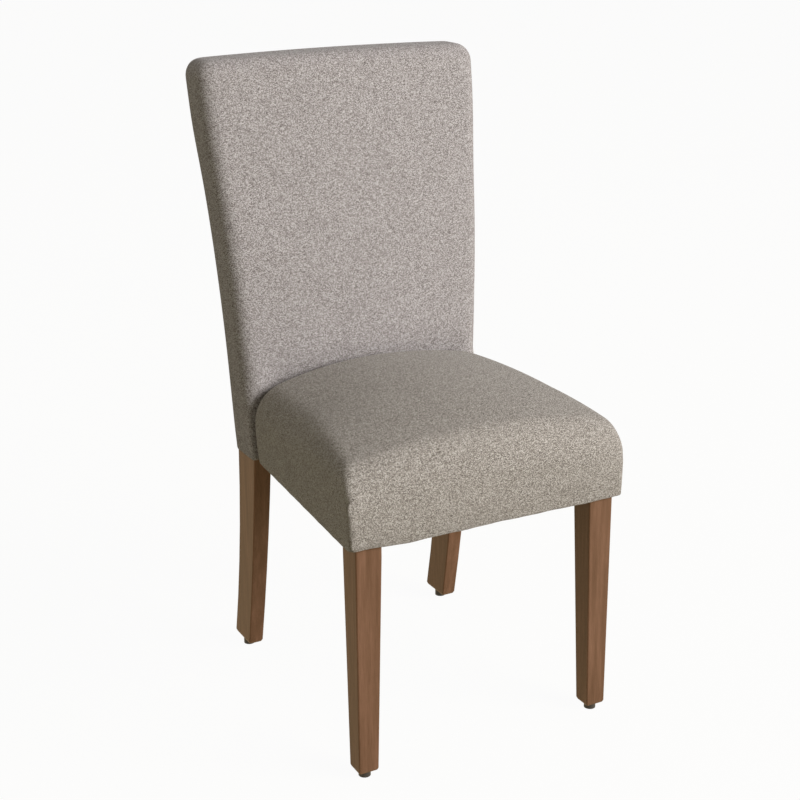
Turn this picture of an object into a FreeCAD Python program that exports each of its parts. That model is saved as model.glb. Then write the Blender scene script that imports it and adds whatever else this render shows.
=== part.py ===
import FreeCAD, Part
import math
import os

Vector = FreeCAD.Vector

# Upholstered parsons dining chair, in millimetres.
# X runs across the chair, Y from the front to the back, Z up from the floor.
# While it is built, Y starts at the front faces of the front legs.
# At the end every piece moves so that Y starts at the middle of the chair's depth.

# Whole chair
front_leg_spread = 450.0
rear_leg_spread = 419.0
fabric_edge_height = 382.0
back_height = 1031.0
back_top_width = 500.0

# Seat upholstery
seat_rear = 402.0
seat_crown_height = 547.0
seat_crown_place = 225.0
seat_crown_radius_long = 1540.0
seat_crown_radius_cross = 800.0
seat_front_overhang = 14.0
seat_side_overhang = 15.0
seat_rear_half_width = 212.0
seat_front_draw = 5.0
seat_front_fullest_height = 440.0
seat_side_draw = 5.0
seat_roll_radius = 46.0
seat_shoulder_radius = 42.0
seat_front_corner_radius = 14.0
seat_rear_edge_radius = 9.0
# Where the loft's outlines stand, measured in from the front and from the rear
seat_front_steps = (0.8, 5.0, 14.0, 28.0, seat_roll_radius)
seat_rear_steps = (seat_rear_edge_radius, 3.0, 0.0)
seat_spans = 6

# Back upholstery
back_depth_low = 76.0
back_depth_top = 72.0
back_rake_start = 505.0
back_rake_end = 790.0
back_rake_radius = 1700.0
back_width_low = 427.0
back_front_crown = 4.0
back_front_edge_radius = 26.0
back_rear_edge_radius = 8.0
back_low_edge_radius = 3.0
back_edge_grows_from = 462.0
back_edge_grown_at = 512.0
back_low_crown = 0.5
back_crown_growth = 100.0
back_top_roll = 22.0
back_top_corner = 28.0
# Where the outlines of the rolled top stand, as shares of the corner radius
back_top_steps = (1.0, 0.61, 0.29, 0.08, 0.0)
back_spans = 6
back_foam_depth = 32.0
back_foam_bottom = 512.0
outside_back_margin = 9.0

# Cloth, padding and the small gap between soft layers
cover_thickness = 1.6
soft_gap = 0.3
hem_width = 16.0
slit_depth = 3.0
dust_cover_thickness = 0.6
dust_cover_margin = 11.0

# Front legs
front_leg_top_width = 43.0
front_leg_top_depth = 44.0
front_leg_foot_width = 33.5
front_leg_foot_depth = 33.0
front_leg_taper_start = 366.0
leg_edge_radius = 2.5
front_foot_ease = 4.5
rear_foot_ease = 6.0
# Where the outlines of a foot's rounded end stand, as shares of its ease
foot_ease_steps = (0.0, 0.3, 1.0)

# Rear legs with their back posts
rear_leg_width = 31.0
rear_leg_foot_width = 26.0
rear_leg_front = 405.0
rear_foot_front = 463.0
rear_foot_depth = 63.0
sabre_bow_front = 5.0
sabre_bow_rear = 10.0
sabre_spans = 5
post_front_level = 462.0
post_rake_level = 575.0
post_rear_margin = 3.5
post_side_margin = 4.6
post_top_margin = 22.0

# Feet
foot_height = 11.0
glide_radius = 9.5
glide_pin_width = 3.0
glide_pin_length = 18.0

# Seat frame
rail_thickness = 22.0
rail_top = 462.0
tenon_length = 15.0
tenon_thickness = 9.0
tenon_shoulder = 10.0
corner_block_thickness = 24.0
corner_block_height = 46.0
rear_block_leg = 58.0

# Back frame rails
back_rail_thickness = 24.0
lower_rail_low = 520.0
lower_rail_height = 56.0
top_rail_height = 62.0

# Webbing
strap_thickness = 1.2
strap_width = 50.0
long_strap_count = 4
cross_strap_count = 3
back_strap_count = 4
strap_ramp = 8.0
strap_seat = 16.0

# Bolts
seat_bolt_radius = 4.0
seat_bolt_inset = 95.0
seat_bolt_levels = (408.0, 438.0)
hexagon_across = 13.0
bolt_head_height = 5.5
nut_height = 6.5
thread_beyond_nut = 3.0
leg_bolt_radius = 4.0
leg_bolt_grip = 26.0
leg_bolt_level = 432.0
leg_flat = 10.0

rail_bottom = fabric_edge_height + cover_thickness
seat_front = -seat_front_overhang
back_front = seat_rear + soft_gap


def line(a, b):
    return Part.LineSegment(a, b).toShape()


def arc(a, through, b):
    return Part.Arc(a, through, b).toShape()


def box(x0, x1, y0, y1, z0, z1):
    return Part.makeBox(x1 - x0, y1 - y0, z1 - z0, Vector(x0, y0, z0))


def prism(points, along):
    closed = points + points[:1]
    return Part.Face(Part.makePolygon(closed)).extrude(along)


def cylinder(radius, length, start, direction):
    return Part.makeCylinder(radius, length, start, direction)


def mirrored(shape):
    return shape.mirror(Vector(0, 0, 0), Vector(1, 0, 0))


def round_drop(radius, distance):
    """How far a round edge of this radius falls away, this far in from the face it meets."""
    if distance >= radius:
        return 0.0
    return radius - math.sqrt(radius ** 2 - (radius - distance) ** 2)


# Seat upholstery form

def frame_half_width(y):
    """Half the width of the wooden seat frame, which narrows from the front legs to the back."""
    narrowing = (front_leg_spread / 2 + seat_side_overhang - seat_rear_half_width) / seat_rear
    return front_leg_spread / 2 - narrowing * y


def seat_outline(y, inset):
    """One closed cross section of the seat form, drawn in from the cloth by the inset."""
    depth = y - seat_front - inset
    from_rear = seat_rear - inset - y
    roll = round_drop(seat_roll_radius - inset, depth)
    roll += round_drop(seat_rear_edge_radius, from_rear)
    top = seat_crown_height - (y - seat_crown_place) ** 2 / (2 * seat_crown_radius_long) - roll - inset
    corner = round_drop(seat_front_corner_radius, depth) + round_drop(seat_rear_edge_radius, from_rear)
    half = frame_half_width(y) + seat_side_overhang - inset - corner
    share = min(depth / seat_roll_radius, 1.0)
    grown = math.sqrt(1 - (1 - share) ** 2)
    shoulder = seat_front_corner_radius + (seat_shoulder_radius - seat_front_corner_radius) * grown
    bottom = fabric_edge_height + inset
    if depth < seat_front_draw:
        rise = seat_front_fullest_height - bottom
        bow = (seat_front_draw ** 2 + rise ** 2) / (2 * seat_front_draw)
        bottom = seat_front_fullest_height - math.sqrt(2 * bow * depth - depth ** 2)

    crown_centre = top - seat_crown_radius_cross
    reach = seat_crown_radius_cross - shoulder
    shoulder_level = crown_centre + math.sqrt(reach ** 2 - (half - shoulder) ** 2)
    lean = math.atan2(half - shoulder, shoulder_level - crown_centre)
    meet = Vector(seat_crown_radius_cross * math.sin(lean), y,
                  crown_centre + seat_crown_radius_cross * math.cos(lean))
    turn = (math.pi / 2 + lean) / 2
    shoulder_mid = Vector(half - shoulder + shoulder * math.sin(turn), y,
                          shoulder_level + shoulder * math.cos(turn))
    shoulder_end = Vector(half, y, shoulder_level)

    fall = shoulder_level - bottom
    side_bow = (seat_side_draw ** 2 + fall ** 2) / (2 * seat_side_draw)
    swing = math.asin(fall / side_bow) / 2
    side_mid = Vector(half - side_bow * (1 - math.cos(swing)), y, shoulder_level - side_bow * math.sin(swing))
    foot = Vector(half - seat_side_draw, y, bottom)

    def other(point):
        return Vector(-point.x, point.y, point.z)

    return Part.Wire([
        line(other(foot), foot),
        arc(foot, side_mid, shoulder_end),
        arc(shoulder_end, shoulder_mid, meet),
        arc(meet, Vector(0, y, top), other(meet)),
        arc(other(meet), other(shoulder_mid), other(shoulder_end)),
        arc(other(shoulder_end), other(side_mid), other(foot)),
    ])


def seat_form(inset):
    """The seat's crowned form with its waterfall front and drawn-in sides."""
    start = seat_front + inset
    end = seat_rear - inset
    stations = [start + step for step in seat_front_steps]
    middle_start = stations[-1]
    middle_end = end - seat_rear_steps[0]
    for step in range(1, seat_spans):
        stations.append(middle_start + (middle_end - middle_start) * step / seat_spans)
    stations += [end - step for step in seat_rear_steps]
    return Part.makeLoft([seat_outline(y, inset) for y in stations], True, True)


# Back upholstery form

def rake(z):
    """How far the back leans behind its upright lower part at this height."""
    if z <= back_rake_start:
        return 0.0
    climb = min(z, back_rake_end) - back_rake_start
    lean = back_rake_radius - math.sqrt(back_rake_radius ** 2 - climb ** 2)
    if z > back_rake_end:
        lean += (z - back_rake_end) * climb / math.sqrt(back_rake_radius ** 2 - climb ** 2)
    return lean


def back_half_width(z):
    share = (z - fabric_edge_height) / (back_height - fabric_edge_height)
    return (back_width_low + (back_top_width - back_width_low) * share) / 2


def back_depth(z):
    share = max(0.0, (z - back_rake_start) / (back_height - back_rake_start))
    return back_depth_low + (back_depth_top - back_depth_low) * share


def front_edge_radius(z):
    """The front upright edges are tight behind the seat and grow to their full radius above it."""
    share = (z - back_edge_grows_from) / (back_edge_grown_at - back_edge_grows_from)
    growth = min(max(share, 0.0), 1.0)
    return back_low_edge_radius + (back_front_edge_radius - back_low_edge_radius) * growth


def back_outline(z, inset):
    """One level outline of the back form, drawn in from the cloth by the inset."""
    from_top = back_height - inset - z
    side_roll = round_drop(back_top_corner - inset, from_top)
    front_roll = round_drop(back_top_roll - inset, from_top)
    rear_roll = round_drop(back_rear_edge_radius, from_top)
    growth = min(max((z - back_rake_start) / back_crown_growth, 0.0), 1.0)
    crown = back_low_crown + (back_front_crown - back_low_crown) * growth
    half = back_half_width(z) - inset - side_roll
    front = back_front + crown + rake(z) + inset + front_roll
    rear = back_front + rake(z) + back_depth(z) - inset - rear_roll
    front_radius = max(front_edge_radius(z) - front_roll, back_low_edge_radius) - inset
    rear_radius = back_rear_edge_radius - inset
    slant = math.sqrt(0.5)
    front_x = half - front_radius
    rear_x = half - rear_radius
    front_mid = Vector(front_x + front_radius * slant, front + front_radius * (1 - slant), z)
    rear_mid = Vector(rear_x + rear_radius * slant, rear - rear_radius * (1 - slant), z)

    def other(point):
        return Vector(-point.x, point.y, point.z)

    front_in = Vector(front_x, front, z)
    front_out = Vector(half, front + front_radius, z)
    rear_out = Vector(half, rear - rear_radius, z)
    rear_in = Vector(rear_x, rear, z)
    return Part.Wire([
        arc(other(front_in), Vector(0, front - crown, z), front_in),
        arc(front_in, front_mid, front_out),
        line(front_out, rear_out),
        arc(rear_out, rear_mid, rear_in),
        line(rear_in, other(rear_in)),
        arc(other(rear_in), other(rear_mid), other(rear_out)),
        line(other(rear_out), other(front_out)),
        arc(other(front_out), other(front_mid), other(front_in)),
    ])


def back_form(inset):
    """The back's raked, flared form with its rolled top."""
    roll_start = back_height - back_top_corner
    levels = [fabric_edge_height + inset, back_edge_grows_from, back_edge_grown_at]
    for step in range(1, back_spans):
        levels.append(back_edge_grown_at + (roll_start - back_edge_grown_at) * step / back_spans)
    levels += [back_height - inset - share * (back_top_corner - inset) for share in back_top_steps]
    return Part.makeLoft([back_outline(z, inset) for z in levels], True, True)


# Wooden pieces

def rounded_section(x0, x1, y0, y1, z, radius):
    """Level rectangle with rounded corners."""
    slant = radius * (1 - math.sqrt(0.5))
    edges = []
    corners = [(x0, y0, 1, 1), (x1, y0, -1, 1), (x1, y1, -1, -1), (x0, y1, 1, -1)]
    ends = []
    for x, y, right, back in corners:
        along_y = Vector(x, y + back * radius, z)
        along_x = Vector(x + right * radius, y, z)
        middle = Vector(x + right * slant, y + back * slant, z)
        if right * back > 0:
            ends.append((along_y, middle, along_x))
        else:
            ends.append((along_x, middle, along_y))
    for index, (start, middle, end) in enumerate(ends):
        edges.append(arc(start, middle, end))
        edges.append(line(end, ends[(index + 1) % 4][0]))
    return Part.Wire(edges)


def foot_outlines(ease):
    """The levels of a foot's rounded end, each with how far the end is drawn in there."""
    return [(foot_height + share * ease, round_drop(ease, share * ease)) for share in foot_ease_steps]


def front_leg():
    """Right front leg: a square block inside the seat, then a taper on its two inner faces."""
    outer = front_leg_spread / 2
    inner_top = outer - front_leg_top_width
    inner_foot = outer - front_leg_foot_width
    sections = []
    for z, drawn in foot_outlines(front_foot_ease):
        sections.append(rounded_section(inner_foot + drawn, outer - drawn, drawn, front_leg_foot_depth - drawn,
                                        z, leg_edge_radius))
    for z in (front_leg_taper_start, fabric_edge_height):
        sections.append(rounded_section(inner_top, outer, 0, front_leg_top_depth, z, leg_edge_radius))
    shaft = Part.makeLoft(sections, True, True)
    block = box(inner_top, outer, 0, front_leg_top_depth, fabric_edge_height, rail_top)
    flat = prism([Vector(inner_top, front_leg_top_depth - leg_flat, rail_bottom),
                  Vector(inner_top + leg_flat, front_leg_top_depth, rail_bottom),
                  Vector(inner_top, front_leg_top_depth, rail_bottom)], Vector(0, 0, rail_top))
    return shaft.fuse(block).cut(flat)


def post_front(z):
    """Front of the back frame at this height, where the foam and webbing lie."""
    if z <= post_front_level:
        return rear_leg_front
    if z < post_rake_level:
        share = (z - post_front_level) / (post_rake_level - post_front_level)
        return rear_leg_front + (post_front(post_rake_level) - rear_leg_front) * share
    return back_front + cover_thickness + back_foam_depth + rake(z)


def post_rear(z):
    return back_front + rake(z) + back_depth(z) - post_rear_margin


def post_outer(z):
    """Outer face of the back post: upright as a leg, then leaning out with the upholstery."""
    return max(rear_leg_spread / 2, back_half_width(z) - post_side_margin)


def sabre_edge(top_y, foot_y, bow, z):
    """Where one edge of the curved rear leg stands at this height: an arc bowed to the front."""
    middle = (fabric_edge_height + foot_height) / 2
    half = (fabric_edge_height - foot_height) / 2
    radius = (half ** 2 + bow ** 2) / (2 * bow)
    sag = math.sqrt(radius ** 2 - (z - middle) ** 2) - (radius - bow)
    share = (z - foot_height) / (fabric_edge_height - foot_height)
    return foot_y + (top_y - foot_y) * share - sag


def sabre_section(z, drawn):
    """Level outline of the right rear leg, drawn in by the given distance."""
    outer = rear_leg_spread / 2
    share = (z - foot_height) / (fabric_edge_height - foot_height)
    width = rear_leg_foot_width + (rear_leg_width - rear_leg_foot_width) * share
    front = sabre_edge(rear_leg_front, rear_foot_front, sabre_bow_front, z)
    rear = sabre_edge(post_rear(z), rear_foot_front + rear_foot_depth, sabre_bow_rear, z)
    return rounded_section(outer - width + drawn, outer - drawn, front + drawn, rear - drawn, z,
                           leg_edge_radius)


def post_side_view(x, top):
    """Side view of the back post, from the leg's top to the top of the back."""
    def front(z):
        return Vector(x, post_front(z), z)

    def rear(z):
        return Vector(x, post_rear(z), z)

    bend_front = (post_rake_level + back_rake_end) / 2
    bend_rear = (back_rake_start + back_rake_end) / 2
    return Part.Wire([
        line(front(fabric_edge_height), rear(fabric_edge_height)),
        line(rear(fabric_edge_height), rear(back_rake_start)),
        arc(rear(back_rake_start), rear(bend_rear), rear(back_rake_end)),
        line(rear(back_rake_end), rear(top)),
        line(rear(top), front(top)),
        line(front(top), front(back_rake_end)),
        arc(front(back_rake_end), front(bend_front), front(post_rake_level)),
        line(front(post_rake_level), front(post_front_level)),
        line(front(post_front_level), front(fabric_edge_height)),
    ])


def rear_leg():
    """Right rear leg: a sabre leg below, and above it a post that rakes back and leans out."""
    sections = [sabre_section(z, drawn) for z, drawn in foot_outlines(rear_foot_ease)]
    start = foot_height + rear_foot_ease
    for step in range(1, sabre_spans + 1):
        sections.append(sabre_section(start + (fabric_edge_height - start) * step / sabre_spans, 0))
    leg = Part.makeLoft(sections, True, True)

    top = back_height - post_top_margin
    leg_outer = rear_leg_spread / 2
    leg_inner = leg_outer - rear_leg_width
    side = Part.Face(post_side_view(leg_inner - 1, top)).extrude(Vector(back_top_width / 2 - leg_inner, 0, 0))
    lean_start = lean_start_level()
    before = -back_height
    front_view = prism([
        Vector(leg_outer, before, fabric_edge_height),
        Vector(leg_outer, before, lean_start),
        Vector(post_outer(top), before, top),
        Vector(post_outer(top) - rear_leg_width, before, top),
        Vector(leg_inner, before, lean_start),
        Vector(leg_inner, before, fabric_edge_height),
    ], Vector(0, 3 * back_height, 0))
    return leg.fuse(side.common(front_view))


def lean_start_level():
    """Height where the flaring upholstery has grown wide enough for the post to lean out."""
    needed = rear_leg_spread / 2 + post_side_margin - back_half_width(fabric_edge_height)
    growth = back_half_width(fabric_edge_height + 1) - back_half_width(fabric_edge_height)
    return fabric_edge_height + max(needed, 0) / growth


def glide(x, y):
    """Nail-on foot glide: a round pad with a square pin that is driven into the leg."""
    pad = cylinder(glide_radius, foot_height, Vector(x, y, 0), Vector(0, 0, 1))
    half = glide_pin_width / 2
    pin = box(x - half, x + half, y - half, y + half, foot_height, foot_height + glide_pin_length)
    return pad.fuse(pin)


def between_side_lines(y0, y1, inner, low, high):
    """The space between the seat frame's side faces, drawn in by the inner distance."""
    a = frame_half_width(y0) - inner
    b = frame_half_width(y1) - inner
    return prism([Vector(-a, y0, low), Vector(a, y0, low), Vector(b, y1, low), Vector(-b, y1, low)],
                 Vector(0, 0, high - low))


def seat_frame_rear():
    return seat_rear - cover_thickness - soft_gap


def front_rail():
    half = front_leg_spread / 2 - front_leg_top_width
    return box(-half, half, 0, rail_thickness, rail_bottom, rail_top)


def side_rail():
    """Right side rail, following the frame's taper from the front leg to the back edge."""
    start = front_leg_top_depth
    end = seat_frame_rear()
    a = frame_half_width(start)
    b = frame_half_width(end)
    return prism([Vector(a, start, rail_bottom), Vector(b, end, rail_bottom),
                  Vector(b - rail_thickness, end, rail_bottom), Vector(a - rail_thickness, start, rail_bottom)],
                 Vector(0, 0, rail_top - rail_bottom))


def rear_rail():
    """Rail across the back of the seat frame, tenoned into the side rails."""
    end = seat_frame_rear()
    start = end - rail_thickness
    body = between_side_lines(start, end, rail_thickness, rail_bottom, rail_top)
    middle = (start + end) / 2
    half = frame_half_width(middle) - rail_thickness + tenon_length
    tenon = box(-half, half, middle - tenon_thickness / 2, middle + tenon_thickness / 2,
                rail_bottom + tenon_shoulder, rail_top - tenon_shoulder)
    return body.fuse(tenon).removeSplitter()


def frame_inside():
    return between_side_lines(rail_thickness, seat_frame_rear() - rail_thickness, rail_thickness,
                              rail_bottom, rail_top)


def diagonal_line():
    """Middle of the flat on the right front leg, and the way from it into the frame."""
    inner = front_leg_spread / 2 - front_leg_top_width
    middle = Vector(inner + leg_flat / 2, front_leg_top_depth - leg_flat / 2, 0)
    return middle, Vector(-math.sqrt(0.5), math.sqrt(0.5), 0)


def front_block():
    """Corner block across the right front corner, bearing on the leg's flat."""
    middle, inward = diagonal_line()
    sideways = Vector(inward.y, -inward.x, 0)
    reach = front_leg_spread
    low = rail_top - corner_block_height
    a = middle + sideways * reach
    b = middle - sideways * reach
    slab = prism([Vector(p.x, p.y, low) for p in
                  (a, b, b + inward * corner_block_thickness, a + inward * corner_block_thickness)],
                 Vector(0, 0, corner_block_height))
    return slab.common(frame_inside()).cut(front_leg())


def rear_block():
    """Triangular glue block in the right rear corner of the seat frame."""
    end = seat_frame_rear() - rail_thickness
    corner = frame_half_width(end) - rail_thickness
    low = rail_top - corner_block_height
    slab = prism([Vector(corner + rail_thickness, end, low), Vector(corner - rear_block_leg, end, low),
                  Vector(corner + rail_thickness, end - rear_block_leg - rail_thickness, low)],
                 Vector(0, 0, corner_block_height))
    return slab.common(frame_inside())


def back_rail(low, high):
    """Rail between the back posts, raked with them and tenoned into both."""
    def side_view(front_gap, rear_gap, end_gap):
        z0 = low + end_gap
        z1 = high - end_gap
        return [Vector(0, post_front(z0) + front_gap, z0), Vector(0, post_front(z1) + front_gap, z1),
                Vector(0, post_front(z1) + back_rail_thickness - rear_gap, z1),
                Vector(0, post_front(z0) + back_rail_thickness - rear_gap, z0)]

    def across(points, extra):
        reach = back_top_width
        shape = prism([point - Vector(reach, 0, 0) for point in points], Vector(2 * reach, 0, 0))
        before = -back_height
        ends = []
        for z in (low, max(low, min(high, lean_start_level())), high):
            inner = post_outer(z) - rear_leg_width + extra
            if not ends or ends[-1].z < z:
                ends.append(Vector(inner, before, z))
        others = [Vector(-point.x, point.y, point.z) for point in reversed(ends)]
        return shape.common(prism(ends + others, Vector(0, 3 * back_height, 0)))

    cheek = (back_rail_thickness - tenon_thickness) / 2
    body = across(side_view(0, 0, 0), 0)
    tenon = across(side_view(cheek, cheek, tenon_shoulder), tenon_length)
    return body.fuse(tenon).removeSplitter()


# Webbing

def woven_strap(length, crossings, width):
    """A flat strap along X that steps over the straps it crosses at the given places."""
    half = length / 2
    lower = [(-half, 0.0)]
    for place in sorted(crossings):
        over = width / 2
        lower += [(place - over - strap_ramp, 0.0), (place - over, strap_thickness),
                  (place + over, strap_thickness), (place + over + strap_ramp, 0.0)]
    lower.append((half, 0.0))
    upper = [(x, z + strap_thickness) for x, z in reversed(lower)]
    points = [Vector(x, -strap_width / 2, z) for x, z in lower + upper]
    return prism(points, Vector(0, strap_width, 0))


def spread(count, low, high):
    """Evenly spaced places between two ends, with half a space at each end."""
    pitch = (high - low) / count
    return [low + pitch * (index + 0.5) for index in range(count)]


def long_strap_places():
    half = frame_half_width(seat_rear) - rail_thickness - strap_seat
    return spread(long_strap_count, -half, half)


def cross_strap_places():
    return spread(cross_strap_count, front_leg_top_depth, seat_frame_rear() - rail_thickness)


def long_strap(index):
    """Strap from the front rail to the rear rail, over every other cross strap."""
    start = strap_ramp
    end = seat_frame_rear() - strap_ramp
    middle = (start + end) / 2
    crossings = [y - middle for row, y in enumerate(cross_strap_places()) if (row + index) % 2 == 0]
    strap = woven_strap(end - start, crossings, strap_width)
    strap.rotate(Vector(0, 0, 0), Vector(0, 0, 1), 90)
    strap.translate(Vector(long_strap_places()[index], middle, rail_top))
    return strap


def cross_strap(row):
    """Strap from one side rail to the other, over the long straps that pass under it."""
    y = cross_strap_places()[row]
    crossings = [x for index, x in enumerate(long_strap_places()) if (row + index) % 2 == 1]
    length = 2 * (frame_half_width(y + strap_width / 2) - strap_ramp)
    strap = woven_strap(length, crossings, strap_width)
    strap.translate(Vector(0, y, rail_top))
    return strap


def back_strap_levels():
    return spread(back_strap_count, lower_rail_low + lower_rail_height, top_rail_low())


def top_rail_low():
    return back_height - post_top_margin - top_rail_height


def back_strap(row):
    """Strap across the fronts of both back posts, leaning with them."""
    z = back_strap_levels()[row]
    low = z - strap_width / 2
    high = z + strap_width / 2
    half = post_outer(low) - strap_ramp
    lean = math.degrees(math.atan2(post_front(high) - post_front(low), strap_width))
    strap = box(-half, half, -strap_thickness, 0, -strap_width / 2, strap_width / 2)
    strap.rotate(Vector(0, 0, 0), Vector(1, 0, 0), -lean)
    front = (post_front(high) + post_front(low)) / 2 - soft_gap
    strap.translate(Vector(0, front, z))
    return strap


# Bolts

def hexagon(height, start, direction):
    """Hexagonal prism for a bolt head or a nut."""
    corner = hexagon_across / math.sqrt(3)
    points = []
    for step in range(6):
        angle = math.radians(60 * step)
        points.append(Vector(corner * math.cos(angle), corner * math.sin(angle), 0))
    shape = prism(points, Vector(0, 0, height))
    shape.Placement = FreeCAD.Placement(start, FreeCAD.Rotation(Vector(0, 0, 1), direction))
    return shape


def seat_bolt(x, z):
    """Bolt that ties the seat frame to the back frame, with its head inside the seat."""
    head_face = seat_frame_rear() - rail_thickness
    rail_back = rear_leg_front + back_rail_thickness
    backward = Vector(0, 1, 0)
    head = hexagon(bolt_head_height, Vector(x, head_face, z), -backward)
    length = rail_back - head_face + nut_height + thread_beyond_nut
    return head.fuse(cylinder(seat_bolt_radius, length, Vector(x, head_face, z), backward))


def seat_nut(x, z):
    """Hexagon nut against the rear face of the back frame's seat-level rail."""
    rail_back = rear_leg_front + back_rail_thickness
    return hexagon(nut_height, Vector(x, rail_back, z), Vector(0, 1, 0)).cut(seat_bolt(x, z))


def seat_bolt_places():
    """The bolts' places, each with its name: left and right, lower and upper."""
    across = frame_half_width(seat_rear) - seat_bolt_inset
    places = []
    for side, x in (("left", -across), ("right", across)):
        for level, z in zip(("lower", "upper"), seat_bolt_levels):
            places.append((side + "_" + level, x, z))
    return places


def leg_bolt():
    """Hanger bolt of the right front leg, from inside the leg through the corner block."""
    middle, inward = diagonal_line()
    start = Vector(middle.x, middle.y, leg_bolt_level) - inward * leg_bolt_grip
    length = leg_bolt_grip + corner_block_thickness + nut_height + thread_beyond_nut
    return cylinder(leg_bolt_radius, length, start, inward)


def leg_nut():
    """Hexagon nut that draws the right front leg into its corner."""
    middle, inward = diagonal_line()
    seat = Vector(middle.x, middle.y, leg_bolt_level) + inward * corner_block_thickness
    return hexagon(nut_height, seat, inward).cut(leg_bolt())


# Soft pieces

def seat_hem_opening():
    """Space inside the hem that is turned under the seat frame."""
    front = seat_front + seat_front_draw + hem_width
    rear = seat_rear - hem_width
    inner = hem_width - (seat_side_overhang - seat_side_draw)
    low = fabric_edge_height - hem_width
    return between_side_lines(front, rear, inner, low, rail_bottom)


def both_sides(x0, x1, y0, y1, z0, z1, gap):
    """The same room on the right and on the left, larger than the given sizes by the gap."""
    right = box(x0 - gap, x1 + gap, y0 - gap, y1 + gap, z0, z1)
    return right.fuse(mirrored(right))


def front_leg_room(gap, low, high):
    outer = front_leg_spread / 2
    return both_sides(outer - front_leg_top_width, outer, 0, front_leg_top_depth, low, high, gap)


def rear_leg_room(gap, low, high):
    outer = rear_leg_spread / 2
    rear = post_rear(fabric_edge_height)
    return both_sides(outer - rear_leg_width, outer, rear_leg_front, rear, low, high, gap)


def bolt_slits(front):
    """Square slits in the cloth where the seat's bolts pass."""
    half = seat_bolt_radius + soft_gap
    slits = None
    for name, x, z in seat_bolt_places():
        slit = box(x - half, x + half, front, front + slit_depth, z - half, z + half)
        slits = slit if slits is None else slits.fuse(slit)
    return slits


def seat_cover():
    """The seat's cloth as a shell, hemmed under the frame and notched round the front legs."""
    shell = seat_form(0).cut(seat_form(cover_thickness))
    shell = shell.cut(seat_hem_opening())
    shell = shell.cut(front_leg_room(soft_gap, fabric_edge_height - hem_width, rail_bottom))
    return shell.cut(bolt_slits(seat_rear - slit_depth))


def seat_soft_space():
    return seat_form(cover_thickness + soft_gap)


def foam_level():
    """Underside of the seat foam, on top of the woven straps."""
    return rail_top + 2 * strap_thickness + soft_gap


def seat_foam():
    """The crowned foam block that lies on the webbing."""
    above = box(-back_top_width, back_top_width, seat_front - 1, seat_rear, foam_level(), back_height)
    return seat_soft_space().common(above)


def seat_wadding():
    """Wadding round the outside of the seat frame, from the hem up to the foam."""
    level = foam_level() - soft_gap
    below = box(-back_top_width, back_top_width, seat_front - 1, seat_rear, 0, level)
    frame_block = between_side_lines(-soft_gap, seat_rear, -soft_gap, 0, back_height)
    wadding = seat_soft_space().common(below).cut(frame_block)
    return wadding.cut(front_leg_room(soft_gap, 0, back_height))


def dust_cover():
    """Thin cloth stapled under the seat, over the hem and short of its edge."""
    front = seat_front + seat_front_draw + dust_cover_margin
    rear = seat_rear - dust_cover_margin
    inner = dust_cover_margin - (seat_side_overhang - seat_side_draw)
    low = fabric_edge_height - dust_cover_thickness
    sheet = between_side_lines(front, rear, inner, low, fabric_edge_height)
    return sheet.cut(front_leg_room(leg_edge_radius, low, fabric_edge_height))


def outside_back_zone():
    """Front view of the outside back panel, run through the rear face only."""
    low = fabric_edge_height - 1
    top = back_height - back_top_roll
    low_half = back_half_width(fabric_edge_height) - outside_back_margin
    top_half = back_half_width(top) - outside_back_margin
    start = back_front + back_depth_low / 2
    lean = rake(top)
    points = [Vector(-low_half, 0, low), Vector(low_half, 0, low), Vector(top_half, 0, top),
              Vector(-top_half, 0, top)]
    plan = prism(points, Vector(0, back_height, 0))
    side = prism([Vector(-back_top_width, start, low), Vector(-back_top_width, start + lean, top),
                  Vector(-back_top_width, start + lean + back_depth_low, top),
                  Vector(-back_top_width, start + back_depth_low, low)], Vector(2 * back_top_width, 0, 0))
    return plan.common(side)


def back_shell():
    """The back's cloth as a shell, hemmed under its frame and notched round the rear legs."""
    shell = back_form(0).cut(back_form(cover_thickness))
    inner = back_half_width(fabric_edge_height) - hem_width
    opening = box(-inner, inner, back_front + hem_width, back_front + back_depth_low - hem_width,
                  fabric_edge_height - hem_width, rail_bottom)
    return shell.cut(opening).cut(rear_leg_room(soft_gap, fabric_edge_height - hem_width, rail_bottom))


def back_cover(shell):
    """Cloth over the front, sides and top of the back, turned round to the rear edges."""
    return shell.cut(outside_back_zone()).cut(bolt_slits(back_front))


def back_foam():
    """Foam slab in front of the back frame, over its sides and over its top rail."""
    space = back_form(cover_thickness + soft_gap)
    above = box(-back_top_width, back_top_width, 0, back_height, back_foam_bottom, back_height)
    top = back_height - post_top_margin
    half = post_outer(top) + soft_gap
    low_half = post_outer(back_foam_bottom) + soft_gap
    before = -back_height
    clear = strap_thickness + 2 * soft_gap
    front_view = prism([Vector(-low_half, before, back_foam_bottom), Vector(low_half, before, back_foam_bottom),
                        Vector(half, before, top + soft_gap), Vector(-half, before, top + soft_gap)],
                       Vector(0, 3 * back_height, 0))
    x = -back_top_width
    bend = (post_rake_level + back_rake_end) / 2

    def front(z):
        return Vector(x, post_front(z) - clear, z)

    behind = 2 * seat_rear
    side = Part.Face(Part.Wire([
        line(Vector(x, behind, back_foam_bottom), front(back_foam_bottom)),
        line(front(back_foam_bottom), front(post_rake_level)),
        arc(front(post_rake_level), front(bend), front(back_rake_end)),
        line(front(back_rake_end), front(top + soft_gap)),
        line(front(top + soft_gap), Vector(x, behind, top + soft_gap)),
        line(Vector(x, behind, top + soft_gap), Vector(x, behind, back_foam_bottom)),
    ])).extrude(Vector(2 * back_top_width, 0, 0))
    return space.common(above).cut(front_view.common(side))


# Assembly

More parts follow.
